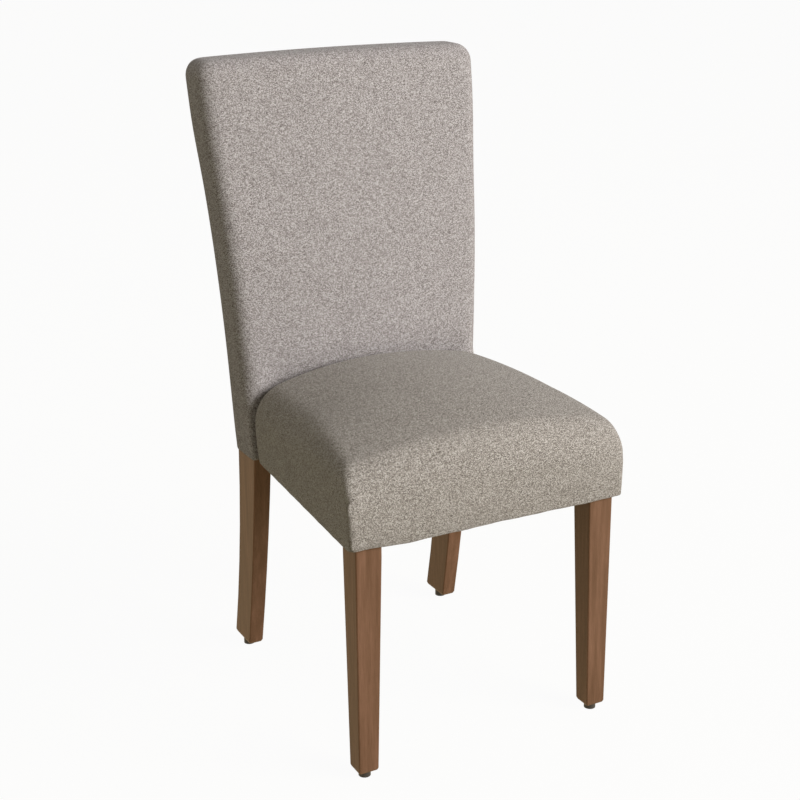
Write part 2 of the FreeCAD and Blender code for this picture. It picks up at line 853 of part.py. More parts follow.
def build():
    pieces = {}
    rails = {
        "back_seat_rail": back_rail(rail_bottom, rail_top),
        "back_lower_rail": back_rail(lower_rail_low, lower_rail_low + lower_rail_height),
        "back_top_rail": back_rail(top_rail_low(), back_height - post_top_margin),
    }
    seat_rear_rail = rear_rail()

    right_front = front_leg()
    right_rear = rear_leg()
    for rail in rails.values():
        right_rear = right_rear.cut(rail)
    right_side = side_rail().cut(seat_rear_rail)
    bolt = leg_bolt()
    right_front = right_front.cut(bolt)
    right_block = front_block().cut(bolt)

    feet = {
        "front": (front_leg_spread / 2 - front_leg_foot_width / 2, front_leg_foot_depth / 2),
        "rear": (rear_leg_spread / 2 - rear_leg_foot_width / 2, rear_foot_front + rear_foot_depth / 2),
    }
    right_front = right_front.cut(glide(*feet["front"]))
    right_rear = right_rear.cut(glide(*feet["rear"]))

    right_pieces = {
        "front_leg": right_front,
        "rear_leg": right_rear,
        "seat_side_rail": right_side,
        "front_corner_block": right_block,
        "rear_corner_block": rear_block(),
        "front_leg_bolt": bolt,
        "front_leg_nut": leg_nut(),
        "front_glide": glide(*feet["front"]),
        "rear_glide": glide(*feet["rear"]),
    }
    for name, shape in right_pieces.items():
        pieces[name + "_right"] = shape
        pieces[name + "_left"] = mirrored(shape)

    for name, x, z in seat_bolt_places():
        bolt = seat_bolt(x, z)
        nut = seat_nut(x, z)
        seat_rear_rail = seat_rear_rail.cut(bolt)
        rails["back_seat_rail"] = rails["back_seat_rail"].cut(bolt)
        pieces["seat_bolt_" + name] = bolt
        pieces["seat_nut_" + name] = nut
    pieces.update(rails)
    pieces["seat_rear_rail"] = seat_rear_rail
    pieces["seat_front_rail"] = front_rail()

    for index in range(long_strap_count):
        pieces["seat_long_strap_%d" % (index + 1)] = long_strap(index)
    for row in range(cross_strap_count):
        pieces["seat_cross_strap_%d" % (row + 1)] = cross_strap(row)
    for row in range(back_strap_count):
        pieces["back_strap_%d" % (row + 1)] = back_strap(row)

    pieces["seat_foam"] = seat_foam()
    pieces["seat_wadding"] = seat_wadding()
    pieces["seat_cover"] = seat_cover()
    pieces["dust_cover"] = dust_cover()
    pieces["back_foam"] = back_foam()
    shell = back_shell()
    pieces["back_cover"] = back_cover(shell)
    pieces["outside_back"] = shell.common(outside_back_zone())
    return pieces


def main():
    os.makedirs("parts", exist_ok=True)
    pieces = build()
    front = min(shape.BoundBox.YMin for shape in pieces.values())
    rear = max(shape.BoundBox.YMax for shape in pieces.values())
    for name, shape in pieces.items():
        shape.translate(Vector(0, -(front + rear) / 2, 0))
        shape.exportStep("parts/" + name + ".step")
        print("%-26s solids %d  volume %10.0f  valid %s"
              % (name, len(shape.Solids), shape.Volume, shape.isValid()))
    print("pieces", len(pieces))


main()
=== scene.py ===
import math
from collections import namedtuple

import bmesh
import bpy
import numpy as np
from mathutils import Euler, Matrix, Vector


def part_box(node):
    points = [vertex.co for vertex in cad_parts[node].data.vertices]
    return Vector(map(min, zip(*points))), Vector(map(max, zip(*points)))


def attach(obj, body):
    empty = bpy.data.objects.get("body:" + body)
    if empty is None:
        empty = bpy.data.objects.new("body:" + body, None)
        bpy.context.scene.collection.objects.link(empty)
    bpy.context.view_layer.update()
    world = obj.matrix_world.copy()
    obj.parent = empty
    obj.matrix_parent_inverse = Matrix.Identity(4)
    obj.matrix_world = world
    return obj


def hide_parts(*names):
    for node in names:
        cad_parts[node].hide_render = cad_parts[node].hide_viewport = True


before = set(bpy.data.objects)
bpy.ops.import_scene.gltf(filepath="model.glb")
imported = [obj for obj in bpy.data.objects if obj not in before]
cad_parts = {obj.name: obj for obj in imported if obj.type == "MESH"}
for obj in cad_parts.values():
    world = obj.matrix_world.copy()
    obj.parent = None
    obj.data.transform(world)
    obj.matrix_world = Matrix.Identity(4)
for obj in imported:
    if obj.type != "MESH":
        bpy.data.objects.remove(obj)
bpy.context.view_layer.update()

MM = 0.001

# Places read from the frame, in metres
LEG_LOW, LEG_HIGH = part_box("front_leg_right")
SEAT_LOW, SEAT_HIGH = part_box("seat_cover")
BACK_LOW, BACK_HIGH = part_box("back_cover")
DUST_LOW, DUST_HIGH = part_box("dust_cover")
PANEL_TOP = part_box("outside_back")[1].z
HEM = SEAT_LOW.z

# Seat upholstery: its sections start a little way into the rolled front
SEAT_FRONT = SEAT_LOW.y
SEAT_REAR = SEAT_HIGH.y
SEAT_TOP = SEAT_HIGH.z
SEAT_FRONT_HALF = SEAT_HIGH.x
SEAT_REAR_HALF = 212 * MM
CROWN_PLACE = LEG_LOW.y + 225 * MM
CROWN_RADIUS_LONG = 1540 * MM
CROWN_RADIUS_CROSS = 800 * MM
ROLL_START = 0.8 * MM
ROLL_DEPTH = 42 * MM
ROLL_DROP = 70 * MM
FRONT_FALL = 5 * MM
FALL_LENGTH = 170 * MM
REAR_EDGE_RADIUS = 20 * MM
FRONT_DRAW = 7 * MM
FULLEST_HEIGHT = 440 * MM

# The two sides of the seat, whose cloth was pulled down differently: how far the side draws in at
# the hem, the front corner's radius, the top edge's radius near the front and at the rear, the
# length over which one becomes the other, and the crown's cross radius at the front and at the
# rear, as a share of CROWN_RADIUS_CROSS
SeatSide = namedtuple("SeatSide", "draw corner_radius front_shoulder rear_shoulder change_length "
                                  "front_crown rear_crown")
RIGHT_SIDE = SeatSide(1 * MM, 17 * MM, 28 * MM, 42 * MM, 170 * MM, 1.15, 1.0)
LEFT_SIDE = SeatSide(5 * MM, 7 * MM, 18 * MM, 62 * MM, 260 * MM, 1.8, 0.78)

# Pleats folded over the seat's front corners. Ahead of the fold, over the front face, the cloth
# swells, and behind it, on the side, it sinks and has a groove. FOLD_OUTWARD is the share of each
# axis of the surface's normal along which it moves
FOLD_DEPTH = 4.5 * MM
FOLD_TOP = 486 * MM
FOLD_FADE = 34 * MM
FOLD_RISE = 1.7 * MM
FOLD_RISE_LENGTH = 14 * MM
FOLD_SINK = 2.2 * MM
FOLD_SINK_LENGTH = 7 * MM
FOLD_INNER_END = 100 * MM
FOLD_OUTWARD = (1.0, 0.35, 0.0)
GROOVE_DEPTH = 3 * MM
GROOVE_WIDTH = 2.6 * MM
GROOVE_BEHIND = 3.2 * MM
RIGHT_FOLD_SHARE = 0.15

# The seat's hem. Each wave of its uneven line has radians per metre across and along, a phase and
# a share. The left front corner is lifted and the right one hangs lower
HEM_BAND = 12 * MM
HEM_RIPPLE = 0.35 * MM
RIPPLE_WAVES = ((61, 0, 1.0, 1.0), (143, 97, 0.0, 0.7), (0, 211, 2.0, 0.5))
CORNER_LIFT = 5 * MM
LIFT_START = 130 * MM
LIFT_LENGTH = 100 * MM
CORNER_DROP = 2.5 * MM
DROP_LENGTH = 200 * MM
CORNER_DEPTH = 30 * MM
CORNER_FADE = 25 * MM

# Back upholstery
BACK_FRONT = BACK_LOW.y
BACK_TOP = BACK_HIGH.z
BACK_DEPTH_LOW = 76 * MM
BACK_DEPTH_TOP = 72 * MM
BACK_LOW_HALF = 213.5 * MM
BACK_TOP_HALF = 250 * MM
RAKE_START = 505 * MM
RAKE_END = 790 * MM
RAKE_RADIUS = 1700 * MM
FRONT_CROWN = 4 * MM
LOW_CROWN = 0.5 * MM
CROWN_GROWTH = 100 * MM
FRONT_EDGE_RADIUS = 26 * MM
LOW_EDGE_RADIUS = 3 * MM
EDGE_GROWS_FROM = 462 * MM
EDGE_GROWN_AT = 512 * MM
REAR_RADIUS = 8 * MM
TOP_ROLL = 22 * MM
TOP_CORNER = 29 * MM
REAR_FILL = 2 * MM
SIDE_FILL = 2.5 * MM
FILL_AT = 930 * MM
FILL_SPREAD = 75 * MM

# The back's top edge is a little higher in the middle than at its corners
TOP_BOW = 4 * MM
TOP_BOW_DEPTH = 90 * MM

# The rear of the back draws in at the hem
HEM_DRAW = 2 * MM
HEM_DRAW_BAND = 50 * MM
HEM_DRAW_DEPTH = 60 * MM

# The front of the back runs down behind the seat, deeper there than at its edges
TUCK = 9 * MM
TUCK_FROM = 570 * MM
TUCK_TO = 500 * MM
TUCK_EDGE = 45 * MM

# How finely the cushions are divided: steps across, up their sides and along their even stretches,
# and the sections where their form turns, in millimetres from the seat's front, from its rear and
# from the back's top
SEAT_ACROSS = 76
SEAT_AROUND = 22
SEAT_MIDDLE_STEPS = 54
BACK_ACROSS = 72
BACK_AROUND = 14
BACK_HEM_STEPS = 12
BACK_EDGE_STEPS = 8
BACK_MIDDLE_STEPS = 66
FROM_SEAT_FRONT = (0, 0.7, 1.5, 2.4, 3.2, 3.8, 4.3, 4.7, 5.2, 6, 7, 8.2, 10, 12, 14.5, 17.5, 21, 25,
                   29.5, 34.5, 40, 46)
FROM_SEAT_REAR = (21.5, 17.5, 14, 11, 8.4, 6, 4, 2.4, 1.2, 0.4)
FROM_BACK_TOP = (28, 24, 20, 16.5, 13, 10, 7.4, 5.2, 3.4, 2.0, 1.0, 0.3)
REAR_ROLL_LENGTH = 26 * MM
TOP_ROLL_LENGTH = 32 * MM

# The y of a unit normal that looks forward, and of one on the seat's flat front
LOOKS_FORWARD = -0.5
LOOKS_STRAIGHT_FORWARD = -0.9

# Outside back panel. Its borders, as shares of its half width, have finer cells and a sunk seam
PANEL_MARGIN = 9 * MM
PANEL_THICKNESS = 1.3 * MM
PANEL_PROUD = 0.1 * MM
PANEL_ABOVE_HEM = 1 * MM
PANEL_BORDER = 6 * MM
BORDER_FROM = 0.97
SEAM_FROM = 0.94
SEAM_SINK = 0.5 * MM
PUCKER = 0.25 * MM
PUCKER_PITCH = 17 * MM
PANEL_ROWS = 96
PANEL_COLUMNS = 60
BORDER_ROWS = 2
BORDER_COLUMNS = 3

# Dust cover, with its notches round the blocks at the tops of the front legs
DUST_FRONT = DUST_LOW.y
DUST_REAR = DUST_HIGH.y
DUST_FRONT_HALF = DUST_HIGH.x
DUST_REAR_HALF = SEAT_REAR_HALF - 16 * MM
DUST_THICKNESS = 0.6 * MM
DUST_BELOW = 0.2 * MM
DUST_SAG = 1.5 * MM
LEG_BLOCK_WIDTH = 43 * MM
LEG_BLOCK_DEPTH = 44 * MM
NOTCH_GAP = 2.5 * MM
NOTCH_X = LEG_HIGH.x - LEG_BLOCK_WIDTH - NOTCH_GAP
NOTCH_Y = LEG_LOW.y + LEG_BLOCK_DEPTH + NOTCH_GAP
DUST_ROWS = 40
DUST_COLUMNS = 48
NOTCH_ROWS = 8
NOTCH_COLUMNS = 5

# Staples along the dust cover's edges
STAPLE_LENGTH = 10 * MM
STAPLE_WIRE = 0.9 * MM
STAPLE_PITCH = 38 * MM
STAPLE_INSET = 6 * MM
STAPLE_BELOW = 0.9 * MM

# Cloth: the pitch of its threads, the length and stretch of their thicker places, the size of its
# cloudy changes of tone, what each of the three adds to the tone, and the relief
THREAD_PITCH = 0.75 * MM
SLUB_LENGTH = 5 * MM
SLUB_STRETCH = 0.35
CLOUD_SIZE = 60 * MM
THREAD_SHARE = 0.86
SLUB_SHARE = 0.08
CLOUD_SHARE = 0.06
THREAD_RELIEF = 0.12 * MM

# Wood: how much its grain and the waves in it are drawn out along Z, how far those waves bend it,
# how fine the waves, bands and pores are, per metre, and the relief
GRAIN_STRETCH = 0.06
WAVE_STRETCH = 0.25
WAVE_REACH = 0.01
WAVES = 18.0
BANDS = 110.0
BAND_SHARE = 0.7
PORES = 900.0
PORE_SHARE = 0.3
PORE_RELIEF = 0.08 * MM

# Floor and ambient light: both look white, but the light they throw on the chair is weak and tinted
WHITE = (1, 1, 1, 1)
FLOOR_REACH = 30.0
FLOOR_GLOW = 1.04
FLOOR_GLOW_SHARE = 0.92
FLOOR_MATT = (0.32, 0.30, 0.20, 1)
FLOOR_MIRRORED = (1.0, 0.80, 0.50, 1)
AMBIENT = 0.25
AMBIENT_COLOUR = (1.0, 0.94, 0.84, 1)

# Camera, with its angles in degrees and its lens and sensor in millimetres
CAMERA_PLACE = (-1.1155, -2.0708, 1.3214)
CAMERA_TURN = (70.6702, 0.3978, -28.2145)
CAMERA_LENS = 69.3405
CAMERA_SENSOR = 36.0


# Plane forms

def round_drop(radius, distance):
    """How far a round edge of this radius falls away, this far in from the face it meets."""
    if distance >= radius:
        return 0.0
    return radius - math.sqrt(max(radius ** 2 - (radius - distance) ** 2, 0.0))


def growth(place, start, end):
    """Even step from 0 to 1 between two places."""
    return min(max((place - start) / (end - start), 0.0), 1.0)


def smooth(share):
    """Eased step from 0 to 1."""
    share = np.clip(share, 0.0, 1.0)
    return share * share * (3 - 2 * share)


def arc(centre, radius, start, end, steps=24):
    """Points on a plane arc; the angles are in radians."""
    angles = np.linspace(start, end, steps + 1)
    return np.stack([centre[0] + radius * np.cos(angles), centre[1] + radius * np.sin(angles)], 1)


def resampled(points, count):
    """The same path with this many equal steps."""
    points = np.asarray(points)
    steps = np.linalg.norm(np.diff(points, axis=0), axis=1)
    along = np.concatenate([[0], np.cumsum(steps)])
    wanted = np.linspace(0, along[-1], count + 1)
    return np.stack([np.interp(wanted, along, points[:, axis]) for axis in (0, 1)], 1)


def ring_from_halves(right, left, across, around):
    """A closed ring from its two halves: each is a low chain, a side chain and a high chain of
    (x, height) points from the low middle to the high middle, the left half as its mirror image."""
    counts = (across // 2, around, across // 2)
    low, side, high = (resampled(chain, count) for chain, count in zip(right, counts))
    other_low, other_side, other_high = (
        resampled(chain, count) * (-1.0, 1.0) for chain, count in zip(left, counts))
    return np.concatenate([other_low[:0:-1], low, side[1:], high[1:], other_high[-2::-1],
                           other_side[-2:0:-1]])


def stations(*parts):
    """Places along a form: each part is (start, end, steps), and joins the one before it."""
    places = [parts[0][0]]
    for start, end, steps in parts:
        places += [start + (end - start) * step / steps for step in range(1, steps + 1)]
    return places


# Seat cushion form

def seat_half_width(y):
    share = (y - LEG_LOW.y) / (SEAT_REAR - LEG_LOW.y)
    return SEAT_FRONT_HALF + (SEAT_REAR_HALF - SEAT_FRONT_HALF) * share


def seat_height(y):
    """Height of the seat's crown at this depth, with its rolled front and its round rear edge."""
    depth = y - SEAT_FRONT + ROLL_START
    roll = (round_drop(ROLL_DEPTH, depth) * ROLL_DROP / ROLL_DEPTH
            + round_drop(REAR_EDGE_RADIUS, SEAT_REAR - y))
    fall = FRONT_FALL * max(1 - depth / FALL_LENGTH, 0.0) ** 2
    return SEAT_TOP - (y - CROWN_PLACE) ** 2 / (2 * CROWN_RADIUS_LONG) - roll - fall


def seat_bottom(depth):
    """Lower edge of the section at this depth: the front face draws in from its fullest height."""
    if depth >= FRONT_DRAW:
        return HEM
    rise = FULLEST_HEIGHT - HEM
    bow = (FRONT_DRAW ** 2 + rise ** 2) / (2 * FRONT_DRAW)
    return FULLEST_HEIGHT - math.sqrt(2 * bow * depth - depth ** 2)


def seat_half(y, sewn):
    """The chains of one half of the seat's cross section at this depth, as (x, z) points, with the
    side sewn as this SeatSide says."""
    depth = y - SEAT_FRONT + ROLL_START
    top = seat_height(y)
    bottom = seat_bottom(depth)
    corner = round_drop(sewn.corner_radius, depth) + round_drop(REAR_EDGE_RADIUS, SEAT_REAR - y)
    half = seat_half_width(y) - corner
    grown = math.sqrt(1 - (1 - min(depth / ROLL_DEPTH, 1.0)) ** 2)
    changed = min(depth / sewn.change_length, 1.0)
    shoulder = sewn.corner_radius + (sewn.front_shoulder - sewn.corner_radius) * grown
    shoulder += (sewn.rear_shoulder - sewn.front_shoulder) * changed
    crown = CROWN_RADIUS_CROSS * (sewn.front_crown + (sewn.rear_crown - sewn.front_crown) * changed)

    crown_centre = top - crown
    level = crown_centre + math.sqrt((crown - shoulder) ** 2 - (half - shoulder) ** 2)
    lean = math.atan2(half - shoulder, level - crown_centre)
    crown_edge = math.pi / 2 - lean
    tall = level - bottom
    bow = (sewn.draw ** 2 + tall ** 2) / (2 * sewn.draw)
    foot = -math.asin(tall / bow)
    shoulder_centre = (half - shoulder, level)
    low = [(0, bottom), (half - sewn.draw, bottom)]
    side = np.concatenate([arc((half - bow, level), bow, foot, 0),
                           arc(shoulder_centre, shoulder, 0, crown_edge / 2)])
    high = np.concatenate([arc(shoulder_centre, shoulder, crown_edge / 2, crown_edge),
                           arc((0, crown_centre), crown, crown_edge, math.pi / 2)])
    return low, side, high


def seat_ring(y):
    """Cross section of the seat at this depth."""
    ring = ring_from_halves(seat_half(y, RIGHT_SIDE), seat_half(y, LEFT_SIDE),
                            SEAT_ACROSS, SEAT_AROUND)
    return np.stack([ring[:, 0], np.full(len(ring), y), ring[:, 1]], 1)


# Back cushion form

def rake(z):
    """How far the back leans behind its upright lower part at this height."""
    climb = min(max(z - RAKE_START, 0.0), RAKE_END - RAKE_START)
    root = math.sqrt(RAKE_RADIUS ** 2 - climb ** 2)
    return RAKE_RADIUS - root + max(z - RAKE_END, 0.0) * climb / root


def fullness(z):
    """How far the back's sides and rear are filled out at this height, as a share."""
    return math.exp(-((z - FILL_AT) / FILL_SPREAD) ** 2)


def back_half_width(z):
    share = (z - HEM) / (BACK_TOP - HEM)
    return BACK_LOW_HALF + (BACK_TOP_HALF - BACK_LOW_HALF) * share + SIDE_FILL * fullness(z)


def back_depth(z):
    share = max(0.0, (z - RAKE_START) / (BACK_TOP - RAKE_START))
    return BACK_DEPTH_LOW + (BACK_DEPTH_TOP - BACK_DEPTH_LOW) * share + REAR_FILL * fullness(z)


def back_ring(z):
    """Level outline of the back at this height, made as (x, minus y) from the rear to the front."""
    from_top = BACK_TOP - z
    front_roll = round_drop(TOP_ROLL, from_top)
    rear_roll = round_drop(REAR_RADIUS, from_top)
    crown = LOW_CROWN + (FRONT_CROWN - LOW_CROWN) * growth(z, RAKE_START, RAKE_START + CROWN_GROWTH)
    half = back_half_width(z) - round_drop(TOP_CORNER, from_top)
    front = BACK_FRONT + crown + rake(z) + front_roll
    rear = BACK_FRONT + rake(z) + back_depth(z) - rear_roll
    grown = growth(z, EDGE_GROWS_FROM, EDGE_GROWN_AT)
    full = LOW_EDGE_RADIUS + (FRONT_EDGE_RADIUS - LOW_EDGE_RADIUS) * grown
    front_radius = max(full - front_roll, LOW_EDGE_RADIUS)

    flat = half - front_radius
    bow = (crown ** 2 + flat ** 2) / (2 * crown)
    reach = math.asin(flat / bow)
    rear_centre = (half - REAR_RADIUS, -rear + REAR_RADIUS)
    front_centre = (flat, -front - front_radius)
    low = np.concatenate([[(0, -rear), (half - REAR_RADIUS, -rear)],
                          arc(rear_centre, REAR_RADIUS, -math.pi / 2, -math.pi / 4)])
    side = np.concatenate([arc(rear_centre, REAR_RADIUS, -math.pi / 4, 0),
                           arc(front_centre, front_radius, 0, math.pi / 4)])
    high = np.concatenate([arc(front_centre, front_radius, math.pi / 4, math.pi / 2),
                           arc((0, -front + crown - bow), bow, math.pi / 2 - reach, math.pi / 2)])
    ring = ring_from_halves((low, side, high), (low, side, high), BACK_ACROSS, BACK_AROUND)
    return np.stack([ring[:, 0], -ring[:, 1], np.full(len(ring), z)], 1)


# Meshes and objects

def in_scene(name, data):
    """A new object that shows this data."""
    item = bpy.data.objects.new(name, data)
    bpy.context.collection.objects.link(item)
    return item


def piece_from(name, mesh):
    """A piece of the model from its finished bmesh."""
    data = bpy.data.meshes.new(name)
    mesh.to_mesh(data)
    mesh.free()
    return in_scene(name, data)


def end_grid(mesh, row, ring, across, around):
    """The vertices over an end ring, by column and line: the ring's own and new ones inside it."""
    count = 2 * (across + around)
    low = list(range(across + 1))
    right = list(range(across, across + around + 1))
    high = list(range(2 * across + around, across + around - 1, -1))
    left = [0] + list(range(count - 1, count - around - 1, -1))
    grid = {}
    for a in range(across + 1):
        for b in range(around + 1):
            if b == 0:
                grid[a, b] = row[low[a]]
            elif b == around:
                grid[a, b] = row[high[a]]
            elif a == 0:
                grid[a, b] = row[left[b]]
            elif a == across:
                grid[a, b] = row[right[b]]
            else:
                s, t = a / across, b / around
                sides = (1 - s) * ring[left[b]] + s * ring[right[b]]
                ends = (1 - t) * ring[low[a]] + t * ring[high[a]]
                corners = ((1 - s) * (1 - t) * ring[low[0]] + s * (1 - t) * ring[low[-1]]
                           + (1 - s) * t * ring[high[0]] + s * t * ring[high[-1]])
                grid[a, b] = mesh.verts.new(sides + ends - corners)
    return grid


def hang_weave(mesh, weave, top):
    """Lay the weave straight over the flat front below this height."""
    for face in mesh.faces:
        if face.normal.y < LOOKS_STRAIGHT_FORWARD and face.calc_center_median().z < top:
            for loop in face.loops:
                loop[weave].uv = (-loop.vert.co.x, loop.vert.co.z - top)


def box_mesh(name, rings, across, around, flat_front=False):
    """A closed mesh from rings of points, with a grid of faces over its first and last ring.
    Its map named weave holds distances over the cloth, in metres, so threads keep their size."""
    count = 2 * (across + around)
    rings = np.asarray(rings)
    top = across + around + across // 2
    steps = np.linalg.norm(np.diff(rings, axis=1, append=rings[:, :1]), axis=2)
    around_at = np.concatenate([np.zeros((len(rings), 1)), np.cumsum(steps, axis=1)], axis=1)
    around_at -= around_at[:, top:top + 1]
    ridge_steps = np.linalg.norm(np.diff(rings[:, top], axis=0), axis=1)
    along_at = np.concatenate([[0], np.cumsum(ridge_steps)])
    mesh = bmesh.new()
    weave = mesh.loops.layers.uv.new("weave")
    rows = [[mesh.verts.new(point) for point in ring] for ring in rings]

    def add_face(corners, places):
        face = mesh.faces.new(corners)
        face.smooth = True
        for loop, place in zip(face.loops, places):
            loop[weave].uv = place

    for k in range(len(rings) - 1):
        for j in range(count):
            after = (j + 1) % count
            add_face((rows[k][j], rows[k + 1][j], rows[k + 1][after], rows[k][after]),
                     ((around_at[k, j], along_at[k]), (around_at[k + 1, j], along_at[k + 1]),
                      (around_at[k + 1, j + 1], along_at[k + 1]), (around_at[k, j + 1], along_at[k])))

    for end, way in ((0, -1), (-1, 1)):
        grid = end_grid(mesh, rows[end], rings[end], across, around)
        middle = grid[across // 2, around].co.copy()
        for a in range(across):
            for b in range(around):
                corners = [grid[a, b], grid[a + 1, b], grid[a + 1, b + 1], grid[a, b + 1]]
                places = []
                for vert in corners:
                    offset = vert.co - middle
                    places.append((-offset.x, along_at[end] + way * math.hypot(offset.y, offset.z)))
                if way > 0:
                    corners.reverse()
                    places.reverse()
                add_face(corners, places)
    bmesh.ops.recalc_face_normals(mesh, faces=mesh.faces)
    if flat_front:
        hang_weave(mesh, weave, rings[0][top][2])
    return piece_from(name, mesh)


def sheet_mesh(name, cells, thickness, inward):
    """A thin closed sheet from a grid of points. Each row of cells is (points, inside), and the face
    after a point is kept where inside is true. Its other side stands off by the thickness."""
    mesh = bmesh.new()
    weave = mesh.loops.layers.uv.new("weave")
    offset = Vector(inward) * thickness
    upright = abs(offset.y) > abs(offset.z)
    kept = {(i, j) for i, (points, inside) in enumerate(cells[:-1])
            for j in range(len(points) - 1) if inside[j]}

    def side(shift):
        return [[mesh.verts.new(Vector(point) + shift) for point in points] for points, inside in cells]

    def add_face(corners):
        face = mesh.faces.new(corners)
        face.smooth = True
        for loop in face.loops:
            corner = loop.vert.co
            loop[weave].uv = (corner.x, corner.z if upright else corner.y)

    # For each neighbour of a face, the two corners of the edge between them
    edges = {(-1, 0): ((0, 0), (0, 1)), (1, 0): ((1, 1), (1, 0)),
             (0, -1): ((1, 0), (0, 0)), (0, 1): ((0, 1), (1, 1))}
    near = side(Vector((0, 0, 0)))
    far = side(offset)
    for i, j in kept:
        add_face((near[i][j], near[i][j + 1], near[i + 1][j + 1], near[i + 1][j]))
        add_face((far[i][j], far[i + 1][j], far[i + 1][j + 1], far[i][j + 1]))
        for (down, along), (a, b) in edges.items():
            if (i + down, j + along) not in kept:
                add_face((near[i + a[0]][j + a[1]], far[i + a[0]][j + a[1]],
                          far[i + b[0]][j + b[1]], near[i + b[0]][j + b[1]]))
    loose = [vert for vert in mesh.verts if not vert.link_faces]
    bmesh.ops.delete(mesh, geom=loose, context="VERTS")
    bmesh.ops.recalc_face_normals(mesh, faces=mesh.faces)
    return piece_from(name, mesh)


def subdivide_once(piece):
    """Work one level of subdivision into the piece's mesh."""
    modifier = piece.modifiers.new("cloth_curve", "SUBSURF")
    modifier.levels = 1
    modifier.render_levels = 1
    graph = bpy.context.evaluated_depsgraph_get()
    data = bpy.data.meshes.new_from_object(piece.evaluated_get(graph))
    piece.modifiers.clear()
    old = piece.data
    piece.data = data
    data.name = piece.name
    bpy.data.meshes.remove(old)


def vertices(piece):
    """The places and the normals of a piece's vertices."""
    count = len(piece.data.vertices)
    places = np.empty(count * 3)
    normals = np.empty(count * 3)
    piece.data.vertices.foreach_get("co", places)
    piece.data.vertices.foreach_get("normal", normals)
    return places.reshape(-1, 3), normals.reshape(-1, 3)


def move_vertices(piece, places):
    piece.data.vertices.foreach_set("co", places.ravel())
    piece.data.update()


# Seat cushion

def make_seat():
    front = [SEAT_FRONT + gap * MM for gap in FROM_SEAT_FRONT]
    middle = stations((front[-1], SEAT_REAR - REAR_ROLL_LENGTH, SEAT_MIDDLE_STEPS))[1:]
    rear = [SEAT_REAR - gap * MM for gap in FROM_SEAT_REAR]
    rings = [seat_ring(y) for y in front + middle + rear]
    return box_mesh("seat_cushion", rings, SEAT_ACROSS, SEAT_AROUND, flat_front=True)


def corner_arc(depth, radius):
    """Distance round a front corner, from the front face to a place at this depth."""
    turned = np.arccos(np.clip((radius - depth) / radius, 0.0, 1.0))
    return radius * turned + np.maximum(depth - radius, 0.0)


def settle_seat(piece):
    """Fold a pleat over each front corner, and let the hem run unevenly, higher at the left front
    corner and lower at the right one."""
    at, normal = vertices(piece)
    x, y, z = at.T
    depth = np.maximum(y - SEAT_FRONT, 0.0)
    width = np.abs(x)
    half = np.interp(y, (SEAT_FRONT, SEAT_REAR), (SEAT_FRONT_HALF, SEAT_REAR_HALF))
    radius = np.where(x < 0, LEFT_SIDE.corner_radius, RIGHT_SIDE.corner_radius)
    ahead = corner_arc(FOLD_DEPTH, radius) - corner_arc(depth, radius)
    along_front = half - radius - width
    on_front = (along_front > 0) & (depth < radius)
    ahead = np.where(on_front, np.maximum(ahead, 0.0) + along_front, ahead)
    fold = np.where(ahead >= 0, FOLD_RISE * np.exp(-np.abs(ahead) / FOLD_RISE_LENGTH),
                    -FOLD_SINK * np.exp(-np.abs(ahead) / FOLD_SINK_LENGTH))
    fold -= GROOVE_DEPTH * np.exp(-((ahead + GROOVE_BEHIND) / GROOVE_WIDTH) ** 2)
    fold *= smooth((FOLD_TOP - z) / FOLD_FADE) * (width > FOLD_INNER_END)
    fold *= np.where(x < 0, 1.0, RIGHT_FOLD_SHARE)
    at = at + normal * FOLD_OUTWARD * fold[:, None]

    low = smooth((HEM + HEM_BAND - z) / HEM_BAND)
    ripple = sum(share * np.sin(x * across + y * along + phase)
                 for across, along, phase, share in RIPPLE_WAVES)
    near_front = smooth((CORNER_DEPTH - depth) / CORNER_FADE)
    lift = CORNER_LIFT * smooth((-x - LIFT_START) / LIFT_LENGTH) * near_front
    drop = CORNER_DROP * smooth(x / DROP_LENGTH) * near_front
    at[:, 2] += low * (HEM_RIPPLE * ripple + lift - drop)
    move_vertices(piece, at)


# Back cushion

def make_back():
    lower = stations((HEM, EDGE_GROWS_FROM, BACK_HEM_STEPS),
                     (EDGE_GROWS_FROM, EDGE_GROWN_AT, BACK_EDGE_STEPS),
                     (EDGE_GROWN_AT, BACK_TOP - TOP_ROLL_LENGTH, BACK_MIDDLE_STEPS))
    upper = [BACK_TOP - gap * MM for gap in FROM_BACK_TOP]
    return box_mesh("back_cushion", [back_ring(z) for z in lower + upper], BACK_ACROSS, BACK_AROUND)


def hem_draw(z):
    """How far the rear of the back draws in at this height."""
    return HEM_DRAW * smooth((HEM + HEM_DRAW_BAND - z) / HEM_DRAW_BAND)


def settle_back(piece):
    """Bow the top edge, draw in the hem at the rear and tuck the front in behind the seat."""
    at, normal = vertices(piece)
    x, y, z = at.T
    across = np.abs(x) / BACK_TOP_HALF
    z -= TOP_BOW * across ** 2 * smooth((z - BACK_TOP + TOP_BOW_DEPTH) / TOP_BOW_DEPTH)
    y -= hem_draw(z) * smooth((y - BACK_FRONT) / HEM_DRAW_DEPTH)
    from_edge = BACK_LOW_HALF - FRONT_EDGE_RADIUS / 2 - np.abs(x)
    tucked = smooth((TUCK_FROM - z) / (TUCK_FROM - TUCK_TO)) * smooth(from_edge / TUCK_EDGE)
    y += TUCK * tucked * (normal[:, 1] < LOOKS_FORWARD)
    move_vertices(piece, at)


# Outside back panel

def panel_half(z):
    return back_half_width(z) - PANEL_MARGIN


